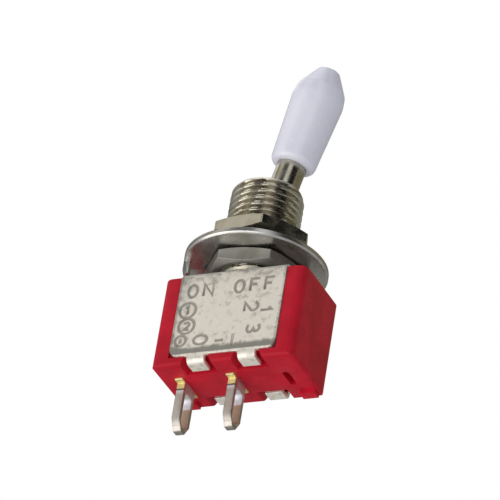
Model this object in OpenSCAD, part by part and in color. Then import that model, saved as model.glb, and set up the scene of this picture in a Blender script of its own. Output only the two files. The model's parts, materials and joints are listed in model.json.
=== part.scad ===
// Miniature toggle switch, one pole, on-off, with a threaded panel bushing and a sleeved lever.
// Units are millimetres. +Z runs out along the bushing, +X is the way the lever leans at rest and
// the line of the terminals, -Y is the front. The origin is on the bushing's axis, on the top
// surface of the metal bracket.

/* [Case] */
// Width of the case, along the terminals
case_w = 13.2; // [12.6:0.1:14]
// Depth of the case, front to back
case_d = 7.2; // [6.8:0.05:7.9]
// Height of the case under the bracket
case_h = 8.7; // [8.3:0.1:10]
// Thickness of the two end walls
end_wall = 1.95; // [1.9:0.05:2.1]
// Thickness of the front and back walls
side_wall = 1.45; // [1.2:0.05:1.6]
// Thickness of the floor that grips the terminals
floor_t = 2.4; // [2.2:0.05:2.6]
// Radius of the four upright edges
edge_r = 0.8; // [0.4:0.05:1.0]
// Radius of the lower edges
base_r = 0.45; // [0.2:0.05:0.6]
// Height of the two feet at the back
foot_h = 0.3; // [0.15:0.05:0.5]
// Width of each foot
foot_w = 1.4; // [1.0:0.1:2]
// Depth of each foot
foot_d = 0.9; // [0.6:0.1:1.4]
// Width of a notch at its mouth
notch_mouth = 3.0; // [2.6:0.1:3.4]
// How far a notch reaches in from the wall
notch_d = 1.75; // [1.6:0.05:2.0]

/* [Bracket] */
// Thickness of the bracket's sheet
sheet_t = 0.4; // [0.3:0.05:0.5]
// Width of the bracket
apron_w = 9.8; // [9.4:0.1:10.6]
// Height of the case left bare below the bracket
apron_gap = 0.8; // [0.8:0.05:1.4]
// How far the aprons stand proud of the case
apron_proud = 0.12; // [0.05:0.01:0.2]
// Outer radius of the bracket's bends
bend_r = 0.65; // [0.5:0.05:0.8]
// Radius of the aprons' lower corners
apron_corner_r = 0.8; // [0.3:0.1:1.2]
// Width of each bent tab
tab_w = 1.6; // [1.3:0.05:1.8]
// Distance of the tabs from the middle
tab_x = 2.35; // [2.3:0.05:2.8]
// How far a tab reaches in under the case
tab_reach = 1.5; // [1.3:0.05:1.6]

/* [Terminals] */
// Distance from one terminal slot to the next
pitch = 4.75; // [4.5:0.05:4.95]
// Thickness of the terminals
term_t = 0.76; // [0.7:0.02:0.86]
// Width of a solder lug
lug_w = 2.03; // [1.9:0.01:2.2]
// Length of a solder lug below the case
lug_l = 4.5; // [4.1:0.1:5.5]
// Length of the lug's tapered tip
lug_taper = 1.0; // [0.6:0.1:1.6]
// Width of the lug's tip
lug_tip_w = 0.66; // [0.5:0.02:0.9]
// Width of the wire eye
eye_w = 1.22; // [1.0:0.02:1.3]
// Distance of the wire eye from the case
eye_drop = 0.9; // [0.5:0.05:1.1]
// Metal left beyond the wire eye
eye_end = 0.5; // [0.4:0.05:1]
// Width of a terminal inside its slot
shoulder_w = 3.2; // [2.6:0.05:3.4]
// How far the shoulder stands out of the slot
shoulder_out = 0.15; // [0.05:0.05:0.4]
// Depth of the unused slot
blank_slot_d = 1.7; // [1.4:0.05:1.8]
// Radius of the silver contacts
contact_r = 0.55; // [0.45:0.01:0.58]
// Thickness of the silver contacts
contact_t = 0.25; // [0.2:0.01:0.3]
// Radius of the fixed contact's domed face
dome_r = 2.2; // [1.6:0.1:3]
// Thickness of the end terminal's inner shelf
shelf_t = 0.5; // [0.4:0.02:0.6]

/* [Bushing] */
// Outer diameter of the thread
thread_d = 6.35; // [6.3:0.01:6.5]
// Depth of the thread
thread_depth = 0.37; // [0.3:0.01:0.4]
// Distance from one ridge of the thread to the next
thread_pitch = 0.635; // [0.5:0.005:0.75]
// Bevel at the mouth of the bushing
rim_bevel = 0.25; // [0.2:0.01:0.37]
// Height of the bushing above the bracket
bushing_h = 9.65; // [8.9:0.05:9.9]
// Height of the plain neck above the bracket
neck_h = 0.35; // [0.25:0.05:0.5]
// Outer diameter of the spigot staked into the bracket
spigot_d = 5.5; // [5.4:0.02:5.6]
// Depth of the countersink that the spigot fills
stake_d = 0.15; // [0.1:0.01:0.2]
// Width of the keyway
key_w = 0.8; // [0.7:0.05:0.9]
// Depth of the keyway
key_d = 0.45; // [0.42:0.01:0.5]

/* [Lever] */
// Height of the pivot above the bracket
pivot_z = 4.2; // [4.1:0.05:4.4]
// Lean of the lever to each side, in degrees
lever_tilt = 12.5; // [11:0.25:12.5]
// Radius of the lever's ball
ball_r = 2.05; // [2.0:0.01:2.07]
// Radial clearance round the ball
ball_gap = 0.09; // [0.07:0.01:0.1]
// Radius of the lever's shank
shank_r = 1.3; // [1.2:0.01:1.32]
// Radius of the lever below the ball
barrel_r = 1.35; // [1.25:0.01:1.37]
// Radius of the cross pin
pin_r = 0.4; // [0.35:0.01:0.45]
// How far the cross pin stands out of the ball on each side
pin_out = 0.42; // [0.38:0.01:0.44]
// Height of the sleeve's lower end above the pivot
cap_low = 8.3; // [7.8:0.1:8.8]
// Radius of the sleeve's lower edge
cap_foot_r = 0.55; // [0.2:0.05:0.6]
// Height of the sleeve's tip above the pivot
cap_top = 18.1; // [17:0.1:20]
// Diameter of the sleeve's lower end
cap_low_d = 3.97; // [3.7:0.01:4.2]
// Diameter of the sleeve at its thickest
cap_big_d = 4.63; // [4.4:0.01:4.9]
// Diameter of the sleeve where the tip begins
cap_shoulder_d = 4.3; // [4.0:0.01:4.38]
// Diameter of the sleeve's flat tip
cap_tip_d = 2.0; // [1.6:0.05:2.4]
// Distance of the thickest place from the tip
cap_big_drop = 3.0; // [2.7:0.1:3.6]
// Distance of the tip's shoulder from the tip
cap_shoulder_drop = 2.0; // [1.8:0.05:2.3]
// Thickness of the sleeve beyond the lever's end
cap_end_wall = 2.6; // [2:0.1:4]

/* [Mechanism] */
// Radius of the plunger
plunger_r = 0.7; // [0.6:0.01:0.72]
// Radial clearance of the plunger in the lever
plunger_gap = 0.05; // [0.03:0.01:0.08]
// Length of the plunger inside the lever
plunger_hold = 1.6; // [1.4:0.1:1.9]
// How far the plunger stands out of the lever
plunger_out = 1.3; // [1.2:0.05:1.5]
// Length of the spring
spring_l = 3.0; // [2.6:0.1:3.2]
// Radius of the spring's wire
wire_r = 0.09; // [0.07:0.01:0.1]
// Turns of the spring
spring_turns = 6; // [5:1:8]
// Height of the rocker's pivot above the case's floor
rocker_up = 1.7; // [1.6:0.05:1.9]
// Tilt of the rocker to each side, in degrees
rocker_tilt = 7; // [6:0.25:7.5]
// Thickness of the rocker's strip
strip_t = 0.4; // [0.34:0.02:0.44]
// Width of the rocker
rocker_w = 3.6; // [3.2:0.05:3.7]
// Height of the rocker's dish above its pivot
dish_up = 0.87; // [0.86:0.01:0.95]
// Gap between the ends of the rocker and the end walls
arm_gap = 0.27; // [0.2:0.01:0.4]
// Gap between pieces that only ride on each other
ride_gap = 0.03; // [0.02:0.01:0.05]

/* [Hardware] */
// Width of the nuts across their flats
nut_af = 7.94; // [7.8:0.02:8.2]
// Thickness of the nuts
nut_t = 1.4; // [1.2:0.05:1.5]
// Height of the bevel at the nuts' corners
nut_bevel = 0.16; // [0.05:0.01:0.35]
// Radial clearance of the nuts on the thread
nut_gap = 0.04; // [0.02:0.01:0.08]
// Height of the lower nut above the bracket
low_nut_z = 0.52; // [0.36:0.02:0.6]
// Turn of the lower nut, in degrees
low_nut_turn = 11; // [0:1:30]
// Turn of the top nut, in degrees
top_nut_turn = -4; // [-30:1:30]
// Diameter of the locking ring
ring_d = 12.4; // [12:0.1:13]
// Thickness of the locking ring
ring_t = 0.5; // [0.4:0.05:0.8]
// Bevel round the locking ring's lower rim
ring_edge = 0.15; // [0.05:0.05:0.25]
// Length of the locking ring's bent tab
ring_tab_l = 1.1; // [0.8:0.05:1.3]
// Width of the locking ring's bent tab
ring_tab_w = 1.3; // [1:0.1:1.8]
// Place of the bent tab round the ring, in degrees
ring_tab_turn = 200; // [185:1:215]
// Diameter of the toothed washer
washer_d = 9.5; // [9.2:0.1:10]
// Thickness of the toothed washer's sheet
washer_t = 0.5; // [0.4:0.05:0.55]
// Width of the toothed washer's rim
washer_rim = 0.75; // [0.5:0.05:0.9]
// Teeth of the washer
washer_teeth = 10; // [8:1:12]
// Twist of each tooth, in degrees
tooth_twist = 30; // [12:1:32]
// Gap between the toothed washer and the top nut
top_nut_gap = 0.52; // [0.1:0.02:0.6]

/* [Hidden] */
$fn = 64;

// Allowance by which a cutting shape passes the surface it cuts
cut = 0.1;
// Clearance of a pressed piece in its seat
seat_gap = 0.01;

// Heights from the bracket's top surface
case_top_z = -sheet_t;
case_bottom_z = case_top_z - case_h;
floor_z = case_bottom_z + floor_t;
rocker_z = floor_z + rocker_up;

// Bracket
apron_out_y = case_d / 2 + apron_proud;
apron_bottom_z = case_bottom_z + apron_gap;
case_slot_gap = 0.05;
notch_top_z = apron_bottom_z - case_slot_gap;
notch_ceiling = tab_w + 0.6;

// Bushing: radii of the bore from the spigot to the mouth, heights from the pivot
thread_r = thread_d / 2;
root_r = thread_r - thread_depth;
spigot_r = spigot_d / 2;
bore_r = ball_r + ball_gap;
mouth_h = bushing_h - pivot_z;
spigot_bore_r = spigot_r - 0.25;
throat_low_h = -1.7;
seat_low_h = 0.9;
seat_rise = 0.4;
throat_r = bore_r - seat_rise;
throat_slack = 0.06;
mouth_r = mouth_h * tan(lever_tilt) + shank_r / cos(lever_tilt) + throat_slack;
pin_gap = 0.05;
pin_half_l = ball_r + pin_out;

// Lever and plunger: distances from the pivot
pivot_to_rocker = pivot_z - rocker_z;
tip_reach = pivot_to_rocker - dish_up - plunger_r - ride_gap;
barrel_l = tip_reach - plunger_out;
plunger_top = barrel_l - plunger_hold;
spring_top = plunger_top - spring_l;
nib_r = 0.3;
nib_l = 0.5;
spring_r = plunger_r - wire_r - 0.08;
core_top = cap_top - cap_end_wall;

// Rocker
tilt_ratio = rocker_tilt / lever_tilt;
arm_end = case_w / 2 - end_wall - arm_gap;
contact_x = arm_end - contact_r - 0.08;
pad_low = -contact_t;
contact_high_z = rocker_z + (pad_low - dome_r - ride_gap - contact_x * sin(rocker_tilt)) / cos(rocker_tilt);
contact_apex_z = contact_high_z + dome_r;
dome_rise = dome_r - sqrt(dome_r * dome_r - contact_r * contact_r);
shelf_top_z = contact_apex_z - dome_rise - contact_t;
saddle_r = term_t / 2 + 0.05;
shoulder_z = case_bottom_z - shoulder_out;

// Hardware
ring_z = low_nut_z + nut_t;
tooth_span = thread_r + 0.06;
tooth_w = 0.9;
tooth_root = washer_d / 2 - washer_rim;
tooth_drop = (tooth_w * sin(tooth_twist) - washer_t * (1 - cos(tooth_twist))) / 2;
washer_z = ring_z + ring_t + tooth_drop;
top_nut_z = washer_z + washer_t + tooth_drop + top_nut_gap;

// ---- outlines ----

// Flat shape with rounded corners, centred, made of rectangles and discs
module rounded_rect(w, d, r) {
    square([w - 2 * r, d], center = true);
    square([w, d - 2 * r], center = true);
    for (sx = [-1, 1], sy = [-1, 1])
        translate([sx * (w / 2 - r), sy * (d / 2 - r)]) circle(r = r);
}

// Front view of a block from z = low to z = high with rounded lower corners
module round_bottomed(w, low, high, r) {
    translate([-w / 2, low + r]) square([w, high - low - r]);
    translate([-w / 2 + r, low]) square([w - 2 * r, high - low]);
    for (s = [-1, 1]) translate([s * (w / 2 - r), low + r]) circle(r = r);
}

// Extrudes a front view (x, z) along Y, centred on y = 0
module along_y(d) {
    rotate([90, 0, 0]) linear_extrude(height = d, center = true) children();
}

// Extrudes a side view (y, z) along X, centred on x = 0
module along_x(w) {
    rotate([90, 0, 90]) linear_extrude(height = w, center = true) children();
}

// Places its children for the front and for the back of the switch
module front_and_back() {
    children();
    rotate([0, 0, 180]) children();
}

// ---- case ----

module tab_notch() {
    for (s = [-1, 1])
        translate([s * tab_x, -case_d / 2 + notch_d / 2 - cut / 2, 0])
            along_y(notch_d + cut)
                polygon([
                    [-notch_mouth / 2, case_bottom_z - cut],
                    [notch_mouth / 2, case_bottom_z - cut],
                    [notch_ceiling / 2, notch_top_z],
                    [-notch_ceiling / 2, notch_top_z]
                ]);
}

// Shallow recess for an apron, with the top edge bevelled clear of the bracket's inner bend
module apron_recess() {
    width = apron_w + 2 * case_slot_gap;
    depth = sheet_t - apron_proud;
    bevel = bend_r - sheet_t + case_slot_gap;
    wall_y = -case_d / 2 + depth;
    translate([-width / 2, -case_d / 2 - cut, notch_top_z])
        cube([width, depth + cut, cut - notch_top_z]);
    along_x(width) polygon([
        [wall_y - cut, case_top_z - bevel - cut],
        [wall_y + bevel + cut, case_top_z + cut],
        [wall_y - cut, case_top_z + cut]
    ]);
}

module floor_slot(depth) {
    translate([-term_t / 2, -shoulder_w / 2, case_bottom_z - cut])
        cube([term_t, shoulder_w, depth + cut]);
}

// Room in the end wall for the end terminal's fold, above the floor
module end_terminal_pocket() {
    pocket_x = -pitch - term_t / 2 - case_slot_gap;
    pocket_w = lug_w + 2 * case_slot_gap;
    translate([pocket_x, -pocket_w / 2, floor_z])
        cube([term_t + 1, pocket_w, shelf_top_z - floor_z + case_slot_gap]);
}

// Moulded rest under the rocker's free arm, in the place of a third contact
module rocker_rest() {
    rest_w = 2 * contact_r;
    along_y(lug_w) intersection() {
        translate([contact_x, contact_high_z]) circle(r = dome_r);
        translate([contact_x - rest_w / 2, floor_z - cut]) square([rest_w, case_h]);
    }
}

module case() {
    color("crimson") {
        difference() {
            intersection() {
                translate([0, 0, case_bottom_z])
                    linear_extrude(height = case_h) rounded_rect(case_w, case_d, edge_r);
                along_y(case_d + cut) round_bottomed(case_w, case_bottom_z, case_top_z, base_r);
                along_x(case_w + cut) round_bottomed(case_d, case_bottom_z, case_top_z, base_r);
            }
            translate([-case_w / 2 + end_wall, -case_d / 2 + side_wall, floor_z])
                cube([case_w - 2 * end_wall, case_d - 2 * side_wall, case_h]);
            front_and_back() {
                apron_recess();
                tab_notch();
            }
            for (x = [-pitch, 0]) translate([x, 0, 0]) floor_slot(floor_t + cut);
            translate([pitch, 0, 0]) floor_slot(blank_slot_d);
            end_terminal_pocket();
        }
        rocker_rest();
        for (s = [-1, 1])
            translate([
                s * (case_w / 2 - edge_r / 2 - foot_w / 2) - foot_w / 2,
                case_d / 2 - base_r - foot_d,
                case_bottom_z - foot_h
            ])
                cube([foot_w, foot_d, foot_h + cut]);
    }
}

// ---- bracket ----

// Side view of the folded sheet: flat top, two bends, two aprons
module bracket_section() {
    difference() {
        bracket_side(apron_out_y, 0, bend_r);
        bracket_side(apron_out_y - sheet_t, -sheet_t, bend_r - sheet_t);
    }
}

// Side view of a block with rounded upper corners, from y = -half to half
module bracket_side(half, high, r) {
    low = apron_bottom_z;
    translate([-half, low - cut * (high < 0 ? 1 : 0)])
        square([2 * half, high - r - low + cut * (high < 0 ? 1 : 0)]);
    translate([-half + r, low]) square([2 * (half - r), high - low]);
    for (s = [-1, 1]) translate([s * (half - r), high - r]) circle(r = r);
}

// Tab that leaves the front apron's lower edge and is bent in under the case
module bent_tab() {
    outer = sheet_t + 0.15;
    inner = outer - sheet_t;
    seat = notch_top_z - seat_gap;
    bend_y = -apron_out_y + outer;
    bend_z = seat - inner;
    along_x(tab_w) {
        translate([-apron_out_y, bend_z]) square([sheet_t, apron_bottom_z - bend_z + cut]);
        intersection() {
            difference() {
                translate([bend_y, bend_z]) circle(r = outer);
                translate([bend_y, bend_z]) circle(r = inner);
            }
            translate([bend_y - outer, bend_z - outer]) square([outer, outer]);
        }
        translate([bend_y, bend_z - outer]) square([tab_reach - outer, sheet_t]);
    }
}

module frame() {
    color("gainsboro") difference() {
        union() {
            intersection() {
                along_x(apron_w) bracket_section();
                along_y(2 * apron_out_y + cut)
                    round_bottomed(apron_w, apron_bottom_z, 0, apron_corner_r);
            }
            front_and_back()
                for (s = [-1, 1]) translate([s * tab_x, 0, 0]) bent_tab();
        }
        translate([0, 0, -sheet_t - cut]) cylinder(r = spigot_r, h = sheet_t + 2 * cut);
        translate([0, 0, -sheet_t])
            cylinder(r1 = spigot_r + stake_d, r2 = spigot_r, h = stake_d);
    }
}

// ---- bushing ----

// Half section of the bushing, with heights from the bracket's top. Its thread is a row of
// ridges, each a full turn round the axis.
module bushing_section() {
    ridges = floor((bushing_h - rim_bevel - neck_h) / thread_pitch);
    crest = thread_pitch / 12;
    polygon(concat(
        [
            [spigot_bore_r, -sheet_t],
            [spigot_r + stake_d, -sheet_t],
            [spigot_r, -sheet_t + stake_d],
            [spigot_r, 0],
            [root_r, 0]
        ],
        [for (i = [0:ridges - 1], side = [-1:1])
            let (middle = neck_h + (i + 0.5) * thread_pitch)
            side < 0 ? [root_r, middle - thread_pitch / 2] : [thread_r, middle + (2 * side - 1) * crest]],
        [
            [root_r, neck_h + ridges * thread_pitch],
            [thread_r - rim_bevel, bushing_h],
            [mouth_r, bushing_h],
            [throat_r, pivot_z + seat_low_h + seat_rise],
            [bore_r, pivot_z + seat_low_h],
            [bore_r, pivot_z + throat_low_h]
        ]
    ));
}

// Slot up the bore for one end of the cross pin, closed at the pivot
module pin_slot() {
    slot_r = pin_r + pin_gap;
    slot_y = pin_half_l + pin_gap;
    translate([-slot_r, 0, -sheet_t - cut]) cube([2 * slot_r, slot_y, pivot_z + sheet_t + cut]);
    translate([0, 0, pivot_z]) rotate([-90, 0, 0]) cylinder(r = slot_r, h = slot_y);
}

module bushing() {
    color("silver") difference() {
        rotate_extrude() bushing_section();
        front_and_back() pin_slot();
        translate([-thread_r - cut, -key_w / 2, neck_h])
            cube([key_d + cut, key_w, bushing_h]);
    }
}

// ---- lever, all in the lever's own upright frame about the pivot ----

module leaning() {
    translate([0, 0, pivot_z]) rotate([0, lever_tilt, 0]) children();
}

module lever() {
    bore = plunger_r + plunger_gap;
    color("silver") leaning() difference() {
        union() {
            sphere(r = ball_r);
            cylinder(r = shank_r, h = core_top);
            translate([0, 0, -barrel_l]) cylinder(r = barrel_r, h = barrel_l);
        }
        translate([0, 0, -barrel_l - cut]) cylinder(r = bore, h = barrel_l - spring_top + cut);
        rotate([90, 0, 0]) cylinder(r = pin_r + seat_gap, h = 3 * ball_r, center = true);
    }
}

module pivot_pin() {
    chamfer = 0.08;
    color("silver") leaning() rotate([90, 0, 0]) union() {
        cylinder(r = pin_r, h = 2 * (pin_half_l - chamfer), center = true);
        for (s = [0, 180]) rotate([s, 0, 0]) translate([0, 0, pin_half_l - chamfer])
            cylinder(r1 = pin_r, r2 = pin_r - chamfer, h = chamfer);
    }
}

// Arc that rounds the corner b between the directions to a and c, as a list of points
function unit(v) = v / norm(v);
function rounded(a, b, c, r, steps = 5) =
    let (u = unit(a - b), w = unit(c - b), half = acos(u * w) / 2)
    let (reach = r / tan(half), centre = b + unit(u + w) * r / sin(half))
    let (p = b + u * reach, q = b + w * reach)
    [for (i = [0:steps]) centre + r * unit(p + (q - p) * i / steps - centre)];

module lever_cap() {
    bore = shank_r + seat_gap;
    foot = [cap_low_d / 2, cap_low];
    big = [cap_big_d / 2, cap_top - cap_big_drop];
    shoulder = [cap_shoulder_d / 2, cap_top - cap_shoulder_drop];
    rim = [cap_tip_d / 2, cap_top];
    color("lavender") leaning() rotate_extrude() polygon(concat(
        [[bore, cap_low]],
        rounded([bore, cap_low], foot, big, cap_foot_r),
        rounded(foot, big, shoulder, 2.5),
        rounded(big, shoulder, rim, 0.9),
        rounded(shoulder, rim, [0, cap_top], 0.35),
        [[0, cap_top], [0, core_top + seat_gap], [bore, core_top + seat_gap]]
    ));
}

module plunger() {
    color("ivory") leaning() union() {
        translate([0, 0, -tip_reach]) sphere(r = plunger_r);
        translate([0, 0, -tip_reach]) cylinder(r = plunger_r, h = tip_reach - plunger_top);
        translate([0, 0, -plunger_top]) cylinder(r = nib_r, h = nib_l);
    }
}

// Wire coiled on a cylinder, with its ends against the plunger and the bore's end
function coil_point(t, a) =
    let (turn = 360 * spring_turns * t, r = spring_r + wire_r * cos(a))
    [r * cos(turn), r * sin(turn), wire_r + (spring_l - 2 * wire_r) * t + wire_r * sin(a)];

module plunger_spring() {
    sides = 8;
    rings = 14 * spring_turns;
    points = [for (i = [0:rings], k = [0:sides - 1]) coil_point(i / rings, 360 * k / sides)];
    walls = [for (i = [0:rings - 1], k = [0:sides - 1])
        [i * sides + k, i * sides + (k + 1) % sides, (i + 1) * sides + (k + 1) % sides, (i + 1) * sides + k]];
    first = [for (k = [0:sides - 1]) sides - 1 - k];
    last = [for (k = [0:sides - 1]) rings * sides + k];
    color("gray") leaning() translate([0, 0, -plunger_top])
        polyhedron(points = points, faces = concat(walls, [first, last]));
}

// ---- rocker, in its own level frame about its pivot ----

module rocking() {
    translate([0, 0, rocker_z]) rotate([0, -rocker_tilt, 0]) children();
}

// Centre of the plunger's tip as the rocker sees it, with the lever at angle a
function tip_path(a) =
    let (x = -tip_reach * sin(a), z = pivot_to_rocker - tip_reach * cos(a), turn = tilt_ratio * a)
    [x * cos(turn) + z * sin(turn), -x * sin(turn) + z * cos(turn)];

// Direction square to the tip's path, pointing down at the rocker, turned further by extra
function path_down(a, extra = 0) =
    let (d = tip_path(a + 0.5) - tip_path(a - 0.5), angle = atan2(d[1], d[0]) + 90 + extra)
    [cos(angle), sin(angle)];

// Surface that the tip rides on, at a distance from the tip's centre
function dish(a, distance, extra = 0) = tip_path(a) + distance * path_down(a, extra);

module rocker_section() {
    ride = plunger_r + ride_gap;
    steps = 8;
    lip = 20;
    top_lip = dish(-lever_tilt, ride, lip);
    knee = top_lip[0] + 0.75;
    saddle_low = -0.12;
    saddle_out = 2 * saddle_r;
    difference() {
        polygon(concat(
            [[-arm_end, 0], [-arm_end, strip_t], [-knee, strip_t], [-top_lip[0], top_lip[1]]],
            [for (i = [steps:-1:-steps]) dish(lever_tilt * i / steps, ride)],
            [top_lip, [knee, strip_t], [arm_end, strip_t], [arm_end, 0]],
            [[knee - strip_t / 2, 0]],
            [for (i = [-steps:1:-steps / 2]) dish(lever_tilt * i / steps, ride + strip_t)],
            [[saddle_out, saddle_low], [-saddle_out, saddle_low]],
            [for (i = [steps / 2:1:steps]) dish(lever_tilt * i / steps, ride + strip_t)],
            [[-knee + strip_t / 2, 0]]
        ));
        circle(r = saddle_r);
        translate([-saddle_r, -strip_t]) square([2 * saddle_r, strip_t]);
    }
}

module rocker() {
    color("goldenrod") rocking() along_y(rocker_w) rocker_section();
}

module rocker_contact(side) {
    color("silver") rocking() translate([side * contact_x, 0, -contact_t])
        cylinder(r = contact_r, h = contact_t);
}

module rocker_contact_live() {
    rocker_contact(-1);
}

module rocker_contact_idle() {
    rocker_contact(1);
}

// ---- terminals ----

// Side view of a solder lug below the case: straight, then tapered, with an oblong eye
module lug_outline() {
    tip_z = case_bottom_z - lug_l;
    taper_z = tip_z + lug_taper;
    eye_r = eye_w / 2;
    eye_top = case_bottom_z - eye_drop - eye_r;
    eye_low = tip_z + eye_end + eye_r;
    difference() {
        polygon(concat(
            [[-lug_w / 2, shoulder_z], [-lug_w / 2, taper_z]],
            rounded([-lug_w / 2, taper_z], [-lug_tip_w / 2, tip_z], [0, tip_z], 0.25, 3),
            rounded([0, tip_z], [lug_tip_w / 2, tip_z], [lug_w / 2, taper_z], 0.25, 3),
            [[lug_w / 2, taper_z], [lug_w / 2, shoulder_z]]
        ));
        translate([0, eye_top]) circle(r = eye_r);
        translate([0, eye_low]) circle(r = eye_r);
        translate([-eye_r, eye_low]) square([eye_w, eye_top - eye_low]);
    }
}

// Blade of a terminal from its lug's tip up to the height top
module blade(top) {
    along_x(term_t) {
        lug_outline();
        translate([-shoulder_w / 2, shoulder_z]) square([shoulder_w, floor_z - shoulder_z]);
        translate([-lug_w / 2, floor_z]) square([lug_w, top - floor_z]);
    }
}

module common_terminal() {
    color("silver") {
        blade(rocker_z);
        translate([0, 0, rocker_z]) rotate([90, 0, 0])
            cylinder(r = term_t / 2, h = lug_w, center = true);
    }
}

module end_terminal() {
    shelf_end = -contact_x + contact_r + 0.05;
    shelf_start = -pitch - term_t / 2;
    fold_r = term_t;
    color("silver") {
        translate([-pitch, 0, 0]) blade(shelf_top_z - fold_r);
        along_y(lug_w) {
            intersection() {
                translate([shelf_start + fold_r, shelf_top_z - fold_r]) circle(r = fold_r);
                translate([shelf_start, shelf_top_z - fold_r]) square([fold_r, fold_r]);
            }
            translate([shelf_start + fold_r, shelf_top_z - shelf_t])
                square([shelf_end - shelf_start - fold_r, shelf_t]);
        }
    }
}

module end_contact() {
    color("silver") on_shelf() {
        cylinder(r = contact_r, h = contact_t);
        translate([0, 0, contact_t]) intersection() {
            translate([0, 0, dome_rise - dome_r]) sphere(r = dome_r);
            cylinder(r = contact_r, h = dome_r);
        }
    }
}

module on_shelf() {
    translate([-contact_x, 0, shelf_top_z]) children();
}

// ---- hardware ----

// Hexagonal nut with chamfered corners, from z = 0 upward
module nut() {
    corner_r = nut_af / 2 / cos(30);
    face_r = nut_af / 2 - 0.05;
    hole_r = thread_r + nut_gap;
    lead = 0.25;
    difference() {
        intersection() {
            cylinder(r = corner_r, h = nut_t, $fn = 6);
            rotate_extrude() polygon([
                [0, 0], [face_r, 0], [corner_r, nut_bevel], [corner_r, nut_t - nut_bevel],
                [face_r, nut_t], [0, nut_t]
            ]);
        }
        translate([0, 0, -cut]) cylinder(r = hole_r, h = nut_t + 2 * cut);
        translate([0, 0, -cut]) cylinder(r1 = hole_r + lead + cut, r2 = hole_r, h = lead + cut);
        translate([0, 0, nut_t - lead])
            cylinder(r1 = hole_r, r2 = hole_r + lead + cut, h = lead + cut);
    }
}

module lower_nut() {
    color("silver") translate([0, 0, low_nut_z]) rotate([0, 0, low_nut_turn]) nut();
}

module top_nut() {
    color("silver") translate([0, 0, top_nut_z]) rotate([0, 0, top_nut_turn]) nut();
}

// Flat ring with a tongue in the keyway and a tab bent down at its rim
module locking_ring() {
    hole_r = thread_r + nut_gap;
    tongue_w = key_w - 2 * case_slot_gap;
    tongue_in = thread_r - key_d + case_slot_gap;
    fold = 0.3;
    color("silver") translate([0, 0, ring_z]) {
        difference() {
            union() {
                cylinder(d1 = ring_d - 2 * ring_edge, d2 = ring_d, h = ring_edge);
                translate([0, 0, ring_edge]) cylinder(d = ring_d, h = ring_t - ring_edge);
            }
            translate([0, 0, -cut]) cylinder(r = hole_r, h = ring_t + 2 * cut);
        }
        intersection() {
            translate([-thread_r - ring_t, -tongue_w / 2, 0])
                cube([thread_r + ring_t - tongue_in, tongue_w, ring_t]);
            difference() {
                cylinder(r = thread_r + ring_t, h = ring_t);
                translate([0, 0, -cut]) cylinder(r = tongue_in, h = ring_t + 2 * cut);
            }
        }
        rotate([0, 0, ring_tab_turn]) intersection() {
            translate([ring_d / 2 - ring_t, -ring_tab_w / 2, -ring_tab_l])
                cube([ring_t + cut, ring_tab_w, ring_tab_l + ring_t]);
            translate([0, 0, -ring_tab_l]) union() {
                translate([0, 0, fold]) cylinder(d = ring_d, h = ring_tab_l + ring_t - fold);
                cylinder(d1 = ring_d - fold, d2 = ring_d, h = fold);
            }
        }
    }
}

// Ring with twisted teeth that point in at the thread
module lock_washer() {
    tooth_l = tooth_root - tooth_span + 0.2;
    color("silver") translate([0, 0, washer_z]) {
        difference() {
            cylinder(d = washer_d, h = washer_t);
            translate([0, 0, -cut]) cylinder(r = tooth_root, h = washer_t + 2 * cut);
        }
        for (i = [0:washer_teeth - 1])
            rotate([0, 0, 360 * (i + 0.5) / washer_teeth]) difference() {
                translate([tooth_root + 0.2 - tooth_l, 0, washer_t / 2]) rotate([tooth_twist, 0, 0])
                    translate([0, -tooth_w / 2, -washer_t / 2]) cube([tooth_l, tooth_w, washer_t]);
                translate([0, 0, -tooth_w]) cylinder(r = tooth_span, h = washer_t + 2 * tooth_w);
            }
    }
}

case();
frame();
bushing();
lever();
lever_cap();
pivot_pin();
plunger();
plunger_spring();
rocker();
rocker_contact_live();
rocker_contact_idle();
common_terminal();
end_terminal();
end_contact();
lower_nut();
locking_ring();
lock_washer();
top_nut();
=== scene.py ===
import json
import logging
import math
from contextlib import contextmanager
from dataclasses import dataclass, field
from enum import Enum
from typing import Dict, Iterator, List, Optional, Sequence, Tuple, Union

import bmesh
import bpy
import numpy as np
from mathutils import Matrix, Vector


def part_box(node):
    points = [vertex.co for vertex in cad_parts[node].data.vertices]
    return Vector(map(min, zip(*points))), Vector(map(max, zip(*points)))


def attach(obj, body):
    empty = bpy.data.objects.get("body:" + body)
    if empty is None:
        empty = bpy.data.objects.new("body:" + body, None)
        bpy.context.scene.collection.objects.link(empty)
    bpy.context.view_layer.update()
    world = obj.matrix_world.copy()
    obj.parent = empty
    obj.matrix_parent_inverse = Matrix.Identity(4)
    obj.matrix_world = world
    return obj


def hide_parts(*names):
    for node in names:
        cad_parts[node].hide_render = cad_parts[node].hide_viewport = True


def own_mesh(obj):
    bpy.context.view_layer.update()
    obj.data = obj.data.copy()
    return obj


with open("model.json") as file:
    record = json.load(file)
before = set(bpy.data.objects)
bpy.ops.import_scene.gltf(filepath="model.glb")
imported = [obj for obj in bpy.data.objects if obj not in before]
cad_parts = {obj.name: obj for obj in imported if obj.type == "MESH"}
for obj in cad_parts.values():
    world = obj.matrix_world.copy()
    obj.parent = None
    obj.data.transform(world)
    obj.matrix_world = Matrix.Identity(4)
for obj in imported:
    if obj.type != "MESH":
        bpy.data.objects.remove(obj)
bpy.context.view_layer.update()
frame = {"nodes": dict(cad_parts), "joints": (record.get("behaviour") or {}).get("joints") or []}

log = logging.getLogger("toggle_switch")

MM = 0.001
DOUBLED = 0.0008 * MM
FLAT_DEG = 0.6
SAME_POINT = 1e-7
NO_LENGTH = 1e-8
Triple = Tuple[float, float, float]
Colour = Triple
Point = Tuple[float, float]
Spread = Union[float, np.ndarray]


class Body(Enum):
    """The bodies that new pieces ride on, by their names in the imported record."""

    SWITCH = "switch_body"
    LEVER = "lever_body"


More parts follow.
